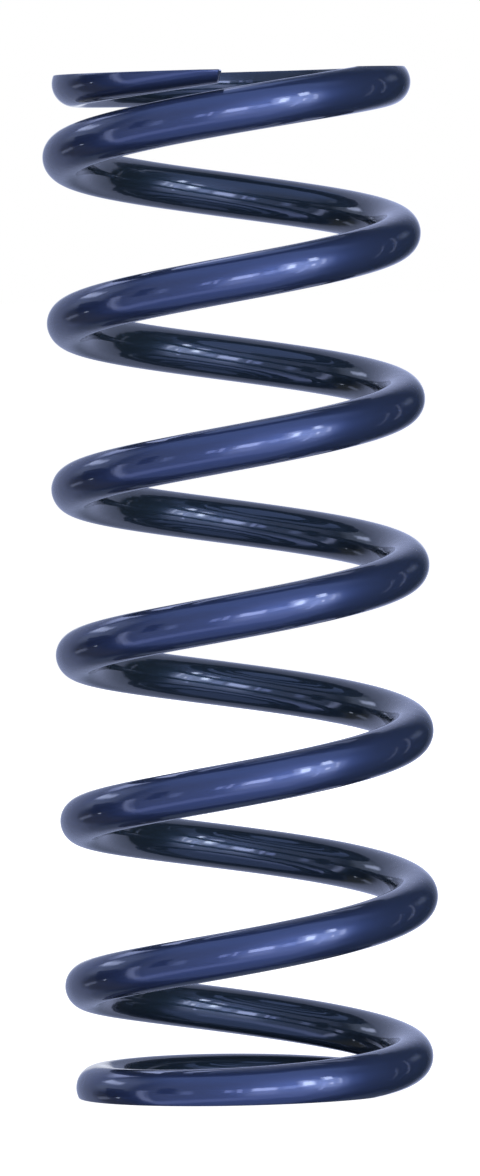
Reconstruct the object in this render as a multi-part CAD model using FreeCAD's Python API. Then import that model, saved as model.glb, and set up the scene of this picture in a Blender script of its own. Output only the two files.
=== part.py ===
import FreeCAD, Part
import math
import os

from FreeCAD import Vector

# A right-hand helical compression spring of round wire, made as one piece.
# It stands upright on its lower ground face, with its axis on Z and the front at -Y.
# Both ends are closed, drawn in to a smaller coil and ground flat, so that each end
# seats on a spring plate, while the open coils between them carry the load.
# All lengths are in millimetres, angles in degrees, and places along the wire in turns.

# The spring as a whole
free_length = 254.0
wire_diameter = 11.3
total_turns = 7.67
open_coil_radius = 41.05       # spring axis to the wire's centre
top_tip_angle = -3.2           # where the wire ends at the top, from the front, anticlockwise

# The bottom end
bottom_coil_radius = 38.85     # the closed coil is drawn in, to grip the spring plate
bottom_tip_thickness = 4.6     # what grinding leaves of the wire at its tip
bottom_tip_gap = 0.3           # clear height between the tip and the coil over it
bottom_tip_rise = 20.0         # slope of the wire at its tip, per turn
bottom_lift_start = 0.455      # the wire begins to lift off the closed coil
bottom_lift_end = 1.225        # the wire has reached the open pitch
bottom_flare_start = 1.18      # the coil begins to widen
bottom_flare_end = 1.48        # the coil has reached the open radius

# The top end
top_coil_radius = 38.25
top_tip_thickness = 3.4
top_tip_gap = 1.65
top_tip_rise = 31.4
top_lift_start = 0.52
top_lift_end = 1.09
top_flare_start = 0.49
top_flare_end = 1.055

# Both tips
tip_bend = 0.30                # turns over which the steep tip eases into the closed coil

# How finely the centre line is drawn
arc_pairs_per_turn = 8

wire_radius = wire_diameter / 2


def lift(turns, start, end):
    """Turns of open pitch gained where the pitch opens smoothly from start to end."""
    width = end - start
    share = min(max((turns - start) / width, 0.0), 1.0)
    return width * (share ** 3 - share ** 4 / 2) + max(turns - end, 0.0)


def smooth_step(value, start, end):
    """Go smoothly from 0 at start to 1 at end."""
    share = min(max((value - start) / (end - start), 0.0), 1.0)
    return share * share * (3 - 2 * share)


class ClosedEnd:
    """One closed and ground end, measured from its ground face and from its tip."""

    def __init__(self, coil_radius, tip_thickness, tip_gap, tip_rise,
                 lift_start, lift_end, flare_start, flare_end):
        self.coil_radius = coil_radius
        self.tip_thickness = tip_thickness
        self.tip_gap = tip_gap
        self.tip_rise = tip_rise
        self.lift_start = lift_start
        self.lift_end = lift_end
        self.flare_start = flare_start
        self.flare_end = flare_end

    def tip_turns(self, turns):
        """Turns of the tip's extra slope, which fades out over the tip bend."""
        bend = min(turns, tip_bend)
        return bend - bend * bend / (2 * tip_bend)

    def closed_pitch(self, open_pitch):
        """The closed coil's pitch, which puts the wire just clear of its tip one turn on."""
        tip_part = self.tip_turns(1.0)
        lift_part = lift(1.0, self.lift_start, self.lift_end)
        rise = wire_diameter + self.tip_gap
        rest = rise - self.tip_rise * tip_part - open_pitch * lift_part
        return rest / (1.0 - tip_part - lift_part)

    def depth(self, turns, open_pitch):
        """Distance from the ground face to the wire's centre."""
        closed = self.closed_pitch(open_pitch)
        at_tip = self.tip_thickness - wire_radius
        return (at_tip + closed * turns
                + (self.tip_rise - closed) * self.tip_turns(turns)
                + (open_pitch - closed) * lift(turns, self.lift_start, self.lift_end))

    def drawn_in(self, turns):
        """How much nearer to the axis the wire is than in the open coils."""
        full = open_coil_radius - self.coil_radius
        return full * (1.0 - smooth_step(turns, self.flare_start, self.flare_end))


bottom_end = ClosedEnd(bottom_coil_radius, bottom_tip_thickness, bottom_tip_gap, bottom_tip_rise,
                       bottom_lift_start, bottom_lift_end, bottom_flare_start, bottom_flare_end)
top_end = ClosedEnd(top_coil_radius, top_tip_thickness, top_tip_gap, top_tip_rise,
                    top_lift_start, top_lift_end, top_flare_start, top_flare_end)


def find_open_pitch():
    """The pitch at which both halves meet at the free length, which grows evenly with it."""
    middle = total_turns / 2
    at_zero = bottom_end.depth(middle, 0.0) + top_end.depth(middle, 0.0)
    at_one = bottom_end.depth(middle, 1.0) + top_end.depth(middle, 1.0)
    return (free_length - at_zero) / (at_one - at_zero)


open_pitch = find_open_pitch()


def direction(turns):
    """Angle round the axis, in radians, that many turns up from the bottom tip."""
    return math.radians(top_tip_angle) - 2 * math.pi * (total_turns - turns)


def around(angle, radius, height):
    """A point at that angle from the front, anticlockwise from above."""
    return Vector(radius * math.sin(angle), -radius * math.cos(angle), height)


def centre_line(turns):
    """The wire's centre, that many turns up from the bottom tip."""
    from_top = total_turns - turns
    if turns < from_top:
        height = bottom_end.depth(turns, open_pitch)
    else:
        height = free_length - top_end.depth(from_top, open_pitch)
    radius = open_coil_radius - bottom_end.drawn_in(turns) - top_end.drawn_in(from_top)
    return around(direction(turns), radius, height)


def heading(turns):
    """Unit vector along the wire."""
    step = 0.001
    along = centre_line(turns + step) - centre_line(turns - step)
    return along.normalize()


def tangent_arc(start, along, end):
    """The arc that leaves start in the given direction and passes through end."""
    chord = end - start
    inward = along.cross(chord).cross(along).normalize()
    radius = chord.dot(chord) / (2 * chord.dot(inward))
    centre = start + inward * radius
    outward = ((start - centre) + (end - centre)).normalize()
    return Part.Arc(start, centre + outward * radius, end).toShape()


def arc_pair(start_turns, end_turns):
    """Two arcs that join two places on the centre line and are tangent to it at both."""
    start, end = centre_line(start_turns), centre_line(end_turns)
    leaving, arriving = heading(start_turns), heading(end_turns)
    chord = end - start
    a = 2 - 2 * leaving.dot(arriving)
    b = 2 * chord.dot(leaving + arriving)
    reach = (math.sqrt(b * b + 4 * a * chord.dot(chord)) - b) / (2 * a)
    first_corner = start + leaving * reach
    second_corner = end - arriving * reach
    joint = (first_corner + second_corner) / 2
    across = (second_corner - first_corner).normalize()
    return [tangent_arc(start, leaving, joint), tangent_arc(joint, across, end)]


def swept_wire():
    """The round wire from tip to tip, before its ends are ground."""
    pairs = round(total_turns * arc_pairs_per_turn)
    edges = []
    for pair in range(pairs):
        edges += arc_pair(total_turns * pair / pairs, total_turns * (pair + 1) / pairs)
    section = Part.Face(Part.Wire([Part.makeCircle(wire_radius, centre_line(0.0), heading(0.0))]))
    return Part.Wire(edges).makePipe(section)


def grinding_block(low, high):
    """Everything that grinding takes away between two heights."""
    side = 3 * (open_coil_radius + wire_diameter)
    return Part.makeBox(side, side, high - low, Vector(-side / 2, -side / 2, low))


def coil_spring():
    """The finished spring, as one solid."""
    below = grinding_block(-wire_diameter, 0.0)
    above = grinding_block(free_length, free_length + wire_diameter)
    return swept_wire().cut([below, above]).Solids[0]


os.makedirs("parts", exist_ok=True)
spring = coil_spring()
spring.exportStep("parts/coil_spring.step")

print("coil_spring valid:", spring.isValid(), "faces:", len(spring.Faces))
print("volume mm3:", round(spring.Volume), "open pitch mm:", round(open_pitch, 3))
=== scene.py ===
import math

import bpy
from mathutils import Matrix, Vector


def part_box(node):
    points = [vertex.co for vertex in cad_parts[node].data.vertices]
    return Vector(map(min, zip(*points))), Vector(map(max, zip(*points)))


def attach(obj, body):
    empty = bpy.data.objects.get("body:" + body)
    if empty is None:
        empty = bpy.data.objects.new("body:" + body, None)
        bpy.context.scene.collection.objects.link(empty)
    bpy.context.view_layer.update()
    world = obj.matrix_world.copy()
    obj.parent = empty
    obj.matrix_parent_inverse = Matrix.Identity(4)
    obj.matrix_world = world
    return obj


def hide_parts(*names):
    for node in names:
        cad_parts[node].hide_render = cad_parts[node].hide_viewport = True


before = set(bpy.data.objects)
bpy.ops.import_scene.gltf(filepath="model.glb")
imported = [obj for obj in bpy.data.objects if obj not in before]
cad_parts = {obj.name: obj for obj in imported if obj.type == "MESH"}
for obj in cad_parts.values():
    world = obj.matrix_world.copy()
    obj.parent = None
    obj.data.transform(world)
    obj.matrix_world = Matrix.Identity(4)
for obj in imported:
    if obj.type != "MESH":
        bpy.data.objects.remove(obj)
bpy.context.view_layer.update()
print("frame loaded")

# Helical compression spring: a glossy deep blue coat on one wound wire,
# standing on a pale floor in front of a white background.

# The wire's path, in metres and turns, with the free length read from the frame
winding = {
    "wireDiameter": 0.0113,
    "turns": 7.67,
    "openRadius": 0.04105,
    "tipAngle": -3.2,           # where the upper tip ends, degrees from the front
    "tipBend": 0.30,            # turns over which a steep tip eases into its closed coil
    "groundEdge": 0.00035,      # rounding of the ground faces' rims
    "leastEdge": 0.00002,       # the least of it, on the narrowed sections of a tip's rim
    "groundReach": 0.000012,    # a point this near the plane of a ground face lies on that face
    "tipEdge": 0.00045,         # rounding of the two end faces' rims
    "topTipLean": 18.0,         # the upper end face leans back at its foot, degrees
}
bottomEnd = {
    "coilRadius": 0.03885,
    "tipThickness": 0.0046,
    "tipGap": 0.0003,
    "tipRise": 0.0200,
    "liftStart": 0.455,
    "liftEnd": 1.225,
    "flareStart": 1.18,
    "flareEnd": 1.48,
}
topEnd = {
    "coilRadius": 0.03825,
    "tipThickness": 0.0034,
    "tipGap": 0.00165,
    "tipRise": 0.0314,
    "liftStart": 0.52,
    "liftEnd": 1.09,
    "flareStart": 0.49,
    "flareEnd": 1.055,
}
# How finely the wire is modelled
wireMesh = {
    "stationsPerTurn": 120,
    "roundSteps": 24,           # steps up one side of the wire
    "edgeSteps": 4,             # steps round the rim of a ground face
    "flatSteps": 3,             # steps across half a ground face
    "tipSteps": 5,
    "weld": 0.000002,           # points nearer than this become one
}

wireRadius = winding["wireDiameter"] / 2
springLow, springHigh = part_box("coil_spring")
springMiddle = (springLow + springHigh) / 2
freeLength = springHigh.z - springLow.z


def smoothStep(value, start, end):
    share = min(max((value - start) / (end - start), 0.0), 1.0)
    return share * share * (3 - 2 * share)


def lift(turns, start, end):
    # turns of open pitch gained where the pitch opens smoothly from start to end
    width = end - start
    share = min(max((turns - start) / width, 0.0), 1.0)
    return width * (share ** 3 - share ** 4 / 2) + max(turns - end, 0.0)


def tipTurns(turns):
    bend = min(turns, winding["tipBend"])
    return bend - bend * bend / (2 * winding["tipBend"])


def closedPitch(end, openPitch):
    # the wire lies just clear of its own tip one turn on
    tipPart = tipTurns(1.0)
    liftPart = lift(1.0, end["liftStart"], end["liftEnd"])
    rise = winding["wireDiameter"] + end["tipGap"]
    return (rise - end["tipRise"] * tipPart - openPitch * liftPart) / (1.0 - tipPart - liftPart)


def depth(end, turns, openPitch):
    # from the ground face to the wire's centre, that many turns from the tip
    closed = closedPitch(end, openPitch)
    return (end["tipThickness"] - wireRadius + closed * turns
            + (end["tipRise"] - closed) * tipTurns(turns)
            + (openPitch - closed) * lift(turns, end["liftStart"], end["liftEnd"]))


def drawnIn(end, turns):
    full = winding["openRadius"] - end["coilRadius"]
    return full * (1.0 - smoothStep(turns, end["flareStart"], end["flareEnd"]))


def findOpenPitch():
    middle = winding["turns"] / 2
    atZero = depth(bottomEnd, middle, 0.0) + depth(topEnd, middle, 0.0)
    atOne = depth(bottomEnd, middle, 1.0) + depth(topEnd, middle, 1.0)
    return (freeLength - atZero) / (atOne - atZero)


openPitch = findOpenPitch()


def wireCentre(turns):
    # the wire's centre, that many turns up from the bottom tip
    fromTop = winding["turns"] - turns
    if turns < fromTop:
        height = depth(bottomEnd, turns, openPitch)
    else:
        height = freeLength - depth(topEnd, fromTop, openPitch)
    radius = winding["openRadius"] - drawnIn(bottomEnd, turns) - drawnIn(topEnd, fromTop)
    angle = math.radians(winding["tipAngle"]) - 2 * math.pi * fromTop
    return Vector((radius * math.sin(angle), -radius * math.cos(angle), springLow.z + height))


def wireHeading(turns):
    step = 0.0005
    return (wireCentre(turns + step) - wireCentre(turns - step)).normalized()


def groundCorner(radius, edge, cut):
    # half width of the flat and the angle where the round begins, for a cut so far from the centre
    if cut >= radius:
        return 0.0, 0.0
    across = math.sqrt(max((radius - edge) ** 2 - (cut - edge) ** 2, 0.0))
    return across, math.atan2(across, cut - edge)


def halfFlat(radius, edge, cut):
    # points from the middle of a ground face out to the round of the wire, below the centre
    width, turn = groundCorner(radius, edge, cut)
    low = -min(cut, radius)
    points = [(width * step / wireMesh["flatSteps"], low) for step in range(wireMesh["flatSteps"])]
    for step in range(wireMesh["edgeSteps"]):
        angle = turn * step / wireMesh["edgeSteps"]
        points.append((width + edge * math.sin(angle), low + edge - edge * math.cos(angle)))
    return points, turn


def sectionSide(below, above, inset):
    # one side of the wire's section from bottom to top, ground where a face is nearer than the radius
    radius = wireRadius - inset
    edge = max(winding["groundEdge"] - inset, winding["leastEdge"])
    lower, startAngle = halfFlat(radius, edge, below - inset)
    upper, endTurn = halfFlat(radius, edge, above - inset)
    arc = []
    for step in range(wireMesh["roundSteps"] + 1):
        angle = startAngle + (math.pi - endTurn - startAngle) * step / wireMesh["roundSteps"]
        arc.append((radius * math.sin(angle), -radius * math.cos(angle)))
    return lower + arc + [(x, -y) for x, y in reversed(upper)]


def sectionRing(turns, inset=0.0, slide=0.0, lean=0.0):
    # the whole section as points in space, with how far each faces outward, and 1 on a ground face
    centre = wireCentre(turns)
    along = wireHeading(turns)
    outward = along.cross(Vector((0, 0, 1))).normalized()
    up = outward.cross(along)
    below = (centre.z - springLow.z) / up.z
    above = (springHigh.z - centre.z) / up.z
    side = sectionSide(below, above, inset)
    ring = side + [(-x, y) for x, y in reversed(side)]
    top = min(above, wireRadius)
    points = []
    for x, y in ring:
        back = slide - lean * (top - y)
        point = centre + outward * x + up * y + along * back
        offFace = min(point.z - springLow.z, springHigh.z - point.z)
        points.append((point, x / wireRadius, float(offFace < winding["groundReach"])))
    return points


def ringList():
    # sections from tip to tip, with a rounded rim at both end faces
    tipEdge = winding["tipEdge"]
    lean = math.tan(math.radians(winding["topTipLean"]))
    rounding = []
    for step in range(wireMesh["tipSteps"]):
        angle = math.pi / 2 * step / (wireMesh["tipSteps"] - 1)
        rounding.append((tipEdge * (1 - math.cos(angle)), tipEdge * (math.sin(angle) - 1)))
    rings = [sectionRing(0.0, inset, -slide) for inset, slide in reversed(rounding)]
    count = round(winding["turns"] * wireMesh["stationsPerTurn"])
    for station in range(1, count - 1):
        rings.append(sectionRing(winding["turns"] * station / count))
    rings += [sectionRing(winding["turns"], inset, slide, lean) for inset, slide in rounding]
    return rings


def deselectAll():
    if bpy.context.object and bpy.context.object.mode != "OBJECT":
        bpy.ops.object.mode_set(mode="OBJECT")
    bpy.ops.object.select_all(action="DESELECT")


def windSpring():
    # a flat grid rolled round the wire's path, welded along its seam and closed at both tips
    rings = ringList()
    columns = len(rings[0]) - 1
    deselectAll()
    bpy.ops.mesh.primitive_grid_add(x_subdivisions=columns, y_subdivisions=len(rings) - 1, size=1.0)
    wire = bpy.context.active_object
    wire.name = "woundSpring"
    wire.data.name = "woundSpring"
    for name in ("outward", "ground"):
        wire.data.attributes.new(name, "FLOAT", "POINT")
    facing = wire.data.attributes["outward"].data
    ground = wire.data.attributes["ground"].data
    for vertex in wire.data.vertices:
        column = round((vertex.co.x + 0.5) * columns)
        row = round((vertex.co.y + 0.5) * (len(rings) - 1))
        vertex.co, facing[vertex.index].value, ground[vertex.index].value = rings[row][column]
    bpy.ops.object.mode_set(mode="EDIT")
    bpy.ops.mesh.select_mode(type="VERT")
    bpy.ops.mesh.select_all(action="SELECT")
    bpy.ops.mesh.remove_doubles(threshold=wireMesh["weld"])
    bpy.ops.mesh.select_all(action="DESELECT")
    bpy.ops.mesh.select_non_manifold(extend=False, use_wire=False, use_multi_face=False,
                                     use_non_contiguous=False, use_verts=False)
    bpy.ops.mesh.fill_holes(sides=0)
    bpy.ops.mesh.select_all(action="SELECT")
    bpy.ops.mesh.normals_make_consistent(inside=False)
    bpy.ops.mesh.select_all(action="DESELECT")
    bpy.ops.object.mode_set(mode="OBJECT")
    bpy.ops.object.shade_smooth()
    return wire


# The coat: deep blue, with painted shade that makes it darker and greyer inside the coils, and a clear
# gloss over it
coat = {
    "outerBlue": (0.036, 0.054, 0.124, 1.0),
    # painted shade: the darker, greyer blue on the faces inside the coils
    "shadedInnerBlue": (0.019, 0.032, 0.047, 1.0),
    "innerShadeReach": -0.6,         # all inner blue up to here, where -1 faces the spring's axis
    "outerReach": 0.8,          # all outer blue from here, where 1 faces away from it
    "metallic": 0.50,
    "groundMetallic": 0.10,     # on the ground faces, which are duller
    "roughness": 0.45,
    "underShine": 0.0,
    "gloss": 1.0,
    "groundGloss": 0.15,
    "glossRoughness": 0.028,
    "glossIor": 1.5,
    "peelSize": 310.0,          # waves of orange peel per metre
    "peelHeight": 0.000044,
    "peelDetail": 1.5,
    "peelRoughness": 0.45,
}


def newMaterial(name):
    material = bpy.data.materials.new(name)
    material.use_nodes = True
    material.node_tree.nodes.clear()
    return material


def addNode(tree, kind, x, y):
    node = tree.nodes.new(kind)
    node.location = (x, y)
    return node


def feed(tree, socket, value):
    # links another socket, or sets a plain value
    if isinstance(value, bpy.types.NodeSocket):
        tree.links.new(value, socket)
    else:
        socket.default_value = value


def addMath(tree, operation, x, y, *values):
    node = addNode(tree, "ShaderNodeMath", x, y)
    node.operation = operation
    for socket, value in zip(node.inputs, values):
        feed(tree, socket, value)
    return node.outputs[0]


def smoothRange(tree, x, y, source, low, high, toLow=0.0, toHigh=1.0):
    node = addNode(tree, "ShaderNodeMapRange", x, y)
    node.interpolation_type = "SMOOTHSTEP"
    for name, value in (("Value", source), ("From Min", low), ("From Max", high),
                        ("To Min", toLow), ("To Max", toHigh)):
        feed(tree, node.inputs[name], value)
    return node.outputs["Result"]


def mixColour(tree, x, y, factor, first, second):
    node = addNode(tree, "ShaderNodeMix", x, y)
    node.data_type = "RGBA"
    for name, value in (("Factor", factor), ("A", first), ("B", second)):
        feed(tree, node.inputs[name], value)
    return node.outputs["Result"]


def mixShader(tree, x, y, factor, first, second):
    node = addNode(tree, "ShaderNodeMixShader", x, y)
    for socket, value in zip(node.inputs, (factor, first, second)):
        tree.links.new(value, socket)
    return node.outputs[0]


def blueCoatMaterial():
    material = newMaterial("blueCoat")
    tree = material.node_tree
    output = addNode(tree, "ShaderNodeOutputMaterial", 900, 0)
    shader = addNode(tree, "ShaderNodeBsdfPrincipled", 600, 0)
    tree.links.new(shader.outputs["BSDF"], output.inputs["Surface"])
    for name, key in (("Roughness", "roughness"), ("Specular IOR Level", "underShine"),
                      ("Coat Roughness", "glossRoughness"), ("Coat IOR", "glossIor")):
        shader.inputs[name].default_value = coat[key]

    # painted shade: darker and greyer where the wire faces the spring's axis, inside the coils
    facing = addNode(tree, "ShaderNodeAttribute", -900, 300)
    facing.attribute_name = "outward"
    side = smoothRange(tree, -600, 300, facing.outputs["Fac"], coat["innerShadeReach"], coat["outerReach"])
    shadedBaseColour = mixColour(tree, -200, 300, side, coat["shadedInnerBlue"], coat["outerBlue"])
    tree.links.new(shadedBaseColour, shader.inputs["Base Color"])

    # duller on the ground faces
    flat = addNode(tree, "ShaderNodeAttribute", -900, 0)
    flat.attribute_name = "ground"
    for y, name, key, groundKey in ((100, "Metallic", "metallic", "groundMetallic"),
                                    (-100, "Coat Weight", "gloss", "groundGloss")):
        shader.inputs[name].default_value = coat[key]
        dulled = smoothRange(tree, -600, y, flat.outputs["Fac"], 0.0, 1.0, coat[key], coat[groundKey])
        tree.links.new(dulled, shader.inputs[name])

    # orange peel in the clear gloss
    place = addNode(tree, "ShaderNodeTexCoord", -900, -300)
    peel = addNode(tree, "ShaderNodeTexNoise", -600, -300)
    tree.links.new(place.outputs["Object"], peel.inputs["Vector"])
    for name, key in (("Scale", "peelSize"), ("Detail", "peelDetail"), ("Roughness", "peelRoughness")):
        peel.inputs[name].default_value = coat[key]
    bump = addNode(tree, "ShaderNodeBump", 200, -300)
    bump.inputs["Strength"].default_value = 1.0
    bump.inputs["Distance"].default_value = coat["peelHeight"]
    tree.links.new(peel.outputs["Fac"], bump.inputs["Height"])
    tree.links.new(bump.outputs["Normal"], shader.inputs["Coat Normal"])
    return material


spring = windSpring()
spring.data.materials.append(blueCoatMaterial())
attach(spring, "root")
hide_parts("coil_spring")
print("spring wound:", len(spring.data.vertices), "vertices,", len(spring.data.polygons), "faces")

# The room: a pale floor, white behind the spring, and in the gloss a room with windows at the front
studio = {
    "floorSize": 60.0,
    "floorColour": (0.35, 0.35, 0.35, 1.0),
    "whiteGlow": (0.98, 0.98, 0.98, 1.0),   # added where the camera sees the floor
    "softLevel": 0.13,                      # even light from all round
    "keyLevel": 0.88,                       # light from the front
    "keyPlace": (24.0, 14.0),               # azimuth from the front and elevation, in degrees
    "backLevel": 0.80,                      # light from behind
    "backPlace": (180.0, 25.0),
    "lampDistance": 2.5,
    "lampSize": 1.6,
    "cardPlace": (0.018, 0.060),            # a card close behind the spring, seen by the gloss alone
    "cardWidth": 0.12,
    "cardHeight": 1.2,                      # times the free length
    "cardFade": (0.2, 0.5),                 # where it fades out, from its middle, in widths
    "cardGlow": (0.55, 0.63, 0.98, 1.0),
}
# What the gloss shows, each patch painted over the ones before it
room = {
    "farWall": (0.02, 0.03, 0.04),
    "patches": [
        # azimuth, elevation, half width, half height, soft edge in degrees, and colour
        ("frontRoom", -10.0, 0.0, 68.0, 90.0, 36.0, (0.46, 0.56, 0.98)),
        ("ceiling", -12.0, 90.0, 102.0, 44.0, 34.0, (0.55, 0.78, 1.65)),
        ("frontFloor", -4.0, -58.0, 84.0, 24.0, 24.0, (0.36, 0.49, 1.05)),
        ("underFloor", 0.0, -90.0, 150.0, 12.0, 30.0, (0.33, 0.46, 1.00)),
        ("backCeiling", -166.0, 64.0, 28.0, 12.0, 16.0, (0.55, 0.75, 1.50)),
        ("backFloor", 180.0, -60.0, 42.0, 18.0, 20.0, (0.22, 0.28, 0.40)),
        ("backRoom", -160.0, -2.0, 38.0, 38.0, 24.0, (0.36, 0.42, 0.66)),
        ("rightRoom", 165.0, 0.0, 13.0, 40.0, 14.0, (0.13, 0.16, 0.25)),
        ("backdrop", 180.0, 2.0, 9.0, 8.0, 6.0, (0.85, 0.90, 1.05)),
        ("leftWall", -108.0, 24.0, 18.0, 20.0, 16.0, (0.62, 0.73, 1.05)),
        ("leftLow", -113.0, -30.0, 14.0, 24.0, 14.0, (0.13, 0.13, 0.11)),
        ("leftDark", -100.0, -4.0, 12.0, 10.0, 6.0, (0.01, 0.01, 0.015)),
        ("leftUpper", -155.0, 42.0, 20.0, 9.0, 10.0, (1.60, 1.85, 3.00)),
        ("leftShelf", -117.0, 27.0, 11.0, 4.0, 6.0, (3.00, 3.40, 4.90)),
        ("leftGlint", -120.0, -17.0, 7.0, 3.0, 5.0, (0.75, 0.85, 1.20)),
        ("leftShade", -104.0, 8.0, 10.0, 2.5, 3.0, (0.02, 0.02, 0.03)),
        ("leftSpark", -103.0, -17.0, 1.4, 1.2, 2.0, (3.4, 3.9, 5.0)),
        ("rightGlint", 131.0, 17.0, 7.0, 5.0, 9.0, (0.30, 0.36, 0.50)),
        ("rightStreak", 104.0, -2.0, 1.1, 15.0, 4.0, (0.52, 0.60, 0.90)),
        ("rightEdge", 118.0, 7.0, 1.3, 18.0, 4.0, (0.52, 0.60, 0.90)),
        ("leftPost", -79.0, -14.0, 3.4, 24.0, 7.0, (1.70, 1.98, 3.30)),
        ("frontStep", -20.0, -40.0, 62.0, 7.0, 10.0, (1.05, 1.30, 2.60)),
        ("doorway", -60.0, 9.0, 6.0, 12.0, 5.0, (0.02, 0.02, 0.03)),
        ("frontGlow", 27.0, 6.0, 30.0, 44.0, 40.0, (0.75, 0.95, 1.90)),
        ("windowGlow", 26.0, -12.0, 33.0, 20.0, 20.0, (1.20, 1.45, 2.50)),
        ("dimPane", -45.0, 0.0, 3.5, 8.0, 6.0, (1.20, 1.50, 2.90)),
        ("leftPane", -17.0, 0.0, 3.0, 6.0, 4.0, (2.2, 2.7, 5.4)),
        ("narrowPane", -10.5, 0.0, 1.6, 8.4, 2.0, (2.9, 3.4, 6.4)),
        ("paneGlow", 7.0, -8.0, 9.0, 16.0, 14.0, (2.0, 2.3, 3.8)),
        ("widePane", 6.0, 1.0, 7.8, 6.8, 4.5, (6.4, 7.4, 12.0)),
        ("rightPane", 22.0, 1.0, 4.0, 7.0, 5.0, (2.8, 3.4, 6.0)),
        ("sideGlow", 47.0, 4.0, 11.0, 19.0, 14.0, (3.0, 3.6, 5.8)),
        ("tallGlow", 33.0, 13.0, 5.0, 15.0, 7.0, (5.0, 5.8, 9.0)),
        ("tallPane", 34.5, 12.0, 2.7, 8.2, 3.2, (13.0, 15.0, 20.0)),
        ("highPane", 49.0, 26.0, 3.2, 6.8, 3.8, (10.0, 11.5, 16.0)),
        ("stripe", 45.5, -8.0, 1.2, 15.0, 3.0, (4.2, 5.0, 8.6)),
        ("lowPane", 50.0, 1.0, 1.0, 4.5, 2.0, (9.0, 10.0, 14.0)),
        ("edgePane", 56.5, 8.0, 1.2, 10.0, 3.0, (5.6, 6.4, 9.5)),
    ],
}


def seenDirectly(tree, x, y, path):
    # 1 for what the camera sees, by itself or through something clear
    looking = path.outputs["Is Camera Ray"]
    through = path.outputs["Is Transmission Ray"]
    return addMath(tree, "MAXIMUM", x, y, looking, through)


def floorMaterial():
    # matt with a white glow for the camera, and clear to the gloss, which looks past it into the room
    material = newMaterial("paleFloor")
    tree = material.node_tree
    output = addNode(tree, "ShaderNodeOutputMaterial", 800, 0)
    path = addNode(tree, "ShaderNodeLightPath", -600, 0)
    matt = addNode(tree, "ShaderNodeBsdfDiffuse", 0, 100)
    matt.inputs["Color"].default_value = studio["floorColour"]
    glow = addNode(tree, "ShaderNodeEmission", 0, -100)
    glow.inputs["Color"].default_value = studio["whiteGlow"]
    tree.links.new(seenDirectly(tree, -300, -100, path), glow.inputs["Strength"])
    both = addNode(tree, "ShaderNodeAddShader", 300, 0)
    tree.links.new(matt.outputs[0], both.inputs[0])
    tree.links.new(glow.outputs[0], both.inputs[1])
    clear = addNode(tree, "ShaderNodeBsdfTransparent", 300, -200)
    shown = mixShader(tree, 600, 0, path.outputs["Is Glossy Ray"], both.outputs[0], clear.outputs[0])
    tree.links.new(shown, output.inputs["Surface"])
    return material


def layFloor():
    deselectAll()
    bpy.ops.mesh.primitive_plane_add(size=studio["floorSize"], location=(0, 0, springLow.z))
    floor = bpy.context.active_object
    floor.name = "paleFloor"
    floor.data.materials.append(floorMaterial())


def softBand(tree, x, y, distance, half, soft):
    # 1 within the half width, falling softly to 0 over the edge
    away = addMath(tree, "ABSOLUTE", x, y, distance)
    return smoothRange(tree, x + 200, y, away, half - soft / 2, half + soft / 2, 1.0, 0.0)


def paintPatch(tree, number, azimuth, elevation, under, patch):
    # one soft-edged patch of the room, painted over the colour so far
    name, turn, height, halfWidth, halfHeight, soft, colour = patch
    y = -200 * number
    aside = addMath(tree, "SUBTRACT", -400, y, azimuth, turn)
    turned = addMath(tree, "WRAP", -200, y, aside, 180.0, -180.0)
    raised = addMath(tree, "SUBTRACT", -200, y - 100, elevation, height)
    across = softBand(tree, 0, y, turned, halfWidth, soft)
    upward = softBand(tree, 0, y - 100, raised, halfHeight, soft)
    cover = addMath(tree, "MULTIPLY", 400, y, across, upward)
    cover.node.label = name
    return mixColour(tree, 600, y, cover, under, (*colour, 1.0))


def roomColour(tree):
    # azimuth from the front and elevation, in degrees, of where a ray looks
    place = addNode(tree, "ShaderNodeTexCoord", -1400, 0)
    parts = addNode(tree, "ShaderNodeSeparateXYZ", -1200, 0)
    tree.links.new(place.outputs["Generated"], parts.inputs[0])
    front = addMath(tree, "MULTIPLY", -1000, 200, parts.outputs["Y"], -1.0)
    turn = addMath(tree, "ARCTAN2", -800, 200, parts.outputs["X"], front)
    rise = addMath(tree, "ARCSINE", -800, 0, parts.outputs["Z"])
    azimuth = addMath(tree, "DEGREES", -600, 200, turn)
    elevation = addMath(tree, "DEGREES", -600, 0, rise)
    colour = (*room["farWall"], 1.0)
    for number, patch in enumerate(room["patches"]):
        colour = paintPatch(tree, number, azimuth, elevation, colour, patch)
    return colour


def addBackground(tree, x, y, colour, strength):
    node = addNode(tree, "ShaderNodeBackground", x, y)
    feed(tree, node.inputs["Color"], colour)
    feed(tree, node.inputs["Strength"], strength)
    return node.outputs[0]


def buildRoom():
    # the camera sees white, the gloss sees the room, and everything else gets an even light
    world = bpy.data.worlds.new("whiteRoom")
    bpy.context.scene.world = world
    world.use_nodes = True
    tree = world.node_tree
    tree.nodes.clear()
    plain = (1.0, 1.0, 1.0, 1.0)
    output = addNode(tree, "ShaderNodeOutputWorld", 1800, 0)
    path = addNode(tree, "ShaderNodeLightPath", 800, 500)
    evenLight = addBackground(tree, 1000, -100, plain, studio["softLevel"])
    mirrored = addBackground(tree, 1000, 100, roomColour(tree), 1.0)
    white = addBackground(tree, 1200, -200, plain, 1.0)
    unseen = mixShader(tree, 1200, 0, path.outputs["Is Glossy Ray"], evenLight, mirrored)
    final = mixShader(tree, 1500, 0, seenDirectly(tree, 1200, 400, path), unseen, white)
    tree.links.new(final, output.inputs["Surface"])


def towards(azimuth, elevation):
    turn = math.radians(azimuth)
    rise = math.radians(elevation)
    return Vector((math.sin(turn) * math.cos(rise), -math.cos(turn) * math.cos(rise), math.sin(rise)))


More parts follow.
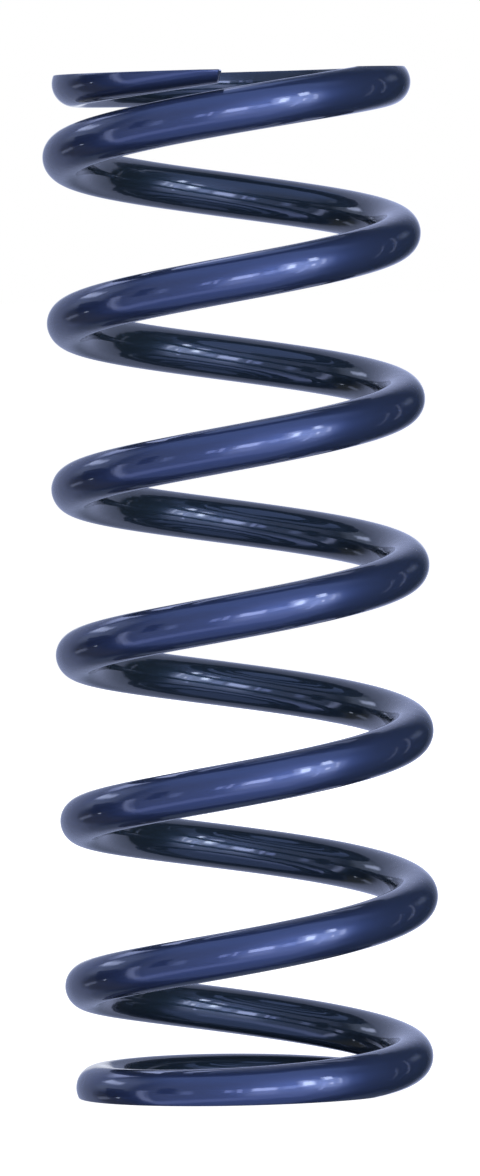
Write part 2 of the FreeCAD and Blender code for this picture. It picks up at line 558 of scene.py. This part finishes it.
def hangLamp(name, level, place):
    # a square soft lamp that the gloss doesn't show
    lamp = bpy.data.lights.new(name, "AREA")
    lamp.shape = "SQUARE"
    lamp.size = studio["lampSize"]
    lamp.energy = level * (math.pi * studio["lampDistance"]) ** 2
    hung = bpy.data.objects.new(name, lamp)
    direction = towards(*place)
    hung.location = springMiddle + direction * studio["lampDistance"]
    hung.rotation_euler = direction.to_track_quat("Z", "Y").to_euler()
    hung.visible_camera = False
    hung.visible_glossy = False
    bpy.context.scene.collection.objects.link(hung)


def cardMaterial():
    # glows towards the spring, fades towards its side edges and is clear from behind
    material = newMaterial("backCard")
    tree = material.node_tree
    output = addNode(tree, "ShaderNodeOutputMaterial", 600, 0)
    glow = addNode(tree, "ShaderNodeEmission", 0, 100)
    glow.inputs["Color"].default_value = studio["cardGlow"]
    clear = addNode(tree, "ShaderNodeBsdfTransparent", 0, -100)
    side = addNode(tree, "ShaderNodeNewGeometry", -300, 500)
    place = addNode(tree, "ShaderNodeTexCoord", -900, 300)
    parts = addNode(tree, "ShaderNodeSeparateXYZ", -700, 300)
    tree.links.new(place.outputs["Object"], parts.inputs[0])
    away = addMath(tree, "ABSOLUTE", -500, 300, parts.outputs["X"])
    faded = smoothRange(tree, -300, 300, away, *studio["cardFade"])
    hidden = addMath(tree, "MAXIMUM", 0, 300, side.outputs["Backfacing"], faded)
    shown = mixShader(tree, 300, 0, hidden, glow.outputs[0], clear.outputs[0])
    tree.links.new(shown, output.inputs["Surface"])
    return material


def hangBackCard():
    deselectAll()
    bpy.ops.mesh.primitive_plane_add(size=1.0, location=(*studio["cardPlace"], springMiddle.z),
                                     rotation=(math.radians(90), 0, 0))
    card = bpy.context.active_object
    card.name = "backCard"
    card.scale = (studio["cardWidth"], freeLength * studio["cardHeight"], 1.0)
    card.data.materials.append(cardMaterial())
    card.visible_camera = False
    card.visible_diffuse = False
    card.visible_transmission = False
    card.visible_shadow = False


layFloor()
buildRoom()
hangLamp("keyLamp", studio["keyLevel"], studio["keyPlace"])
hangLamp("backLamp", studio["backLevel"], studio["backPlace"])
hangBackCard()
print("room built")

# The camera, at the photograph's viewing angle
view = {
    "place": (0.0, -3.0901, 0.2179),
    "pitch": -1.710,            # degrees above the level
    "yaw": 0.009,               # degrees to the left
    "roll": -1.523,
    "lens": 381.2,              # millimetres
    "sensor": 36.0,
}


def placeCamera():
    data = bpy.data.cameras.new("photoCamera")
    data.sensor_width = view["sensor"]
    data.lens = view["lens"]
    camera = bpy.data.objects.new("photoCamera", data)
    turn = (Matrix.Rotation(math.radians(view["yaw"]), 4, "Z")
            @ Matrix.Rotation(math.radians(90 + view["pitch"]), 4, "X")
            @ Matrix.Rotation(math.radians(view["roll"]), 4, "Z"))
    camera.matrix_world = Matrix.Translation(view["place"]) @ turn
    bpy.context.scene.collection.objects.link(camera)
    bpy.context.scene.camera = camera


placeCamera()
bpy.context.scene.view_settings.view_transform = "Standard"
print("camera placed")
